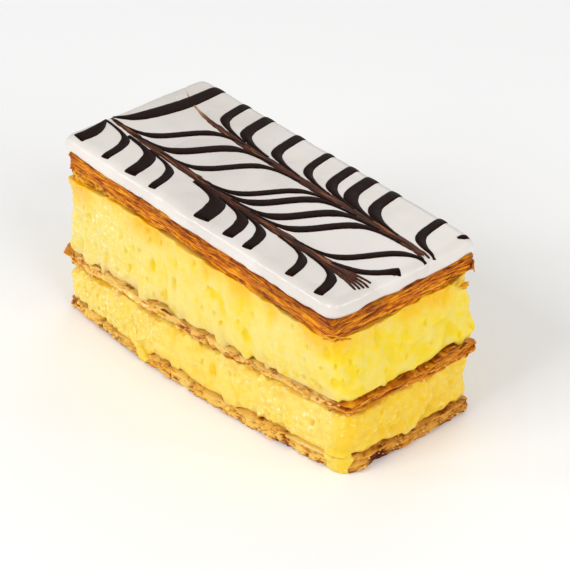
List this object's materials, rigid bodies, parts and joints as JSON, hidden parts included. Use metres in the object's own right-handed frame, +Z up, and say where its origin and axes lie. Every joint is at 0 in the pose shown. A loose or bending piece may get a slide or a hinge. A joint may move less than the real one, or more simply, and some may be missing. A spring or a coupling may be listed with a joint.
{
  "type": "mille feuille slice",
  "caption": "Slice of mille feuille: puff pastry and custard cream in layers under white icing feathered with chocolate.",
  "frame": {"origin": "middle of the slice's underside, on the surface it rests on", "axes": "+X along the slice, +Y across it, +Z up"},
  "size_m": [0.1148, 0.055, 0.0562],
  "materials": {
    "crust": "baked puff pastry, flaky and dry",
    "cream": "set custard cream, moist",
    "sugar": "poured white icing with chocolate feathering"
  },
  "bodies": {
    "root": {"pastry_bottom": "crust", "cream_lower": "cream", "pastry_middle": "crust", "cream_upper": "cream", "pastry_top": "crust", "icing": "sugar"}
  },
  "joints": []
}
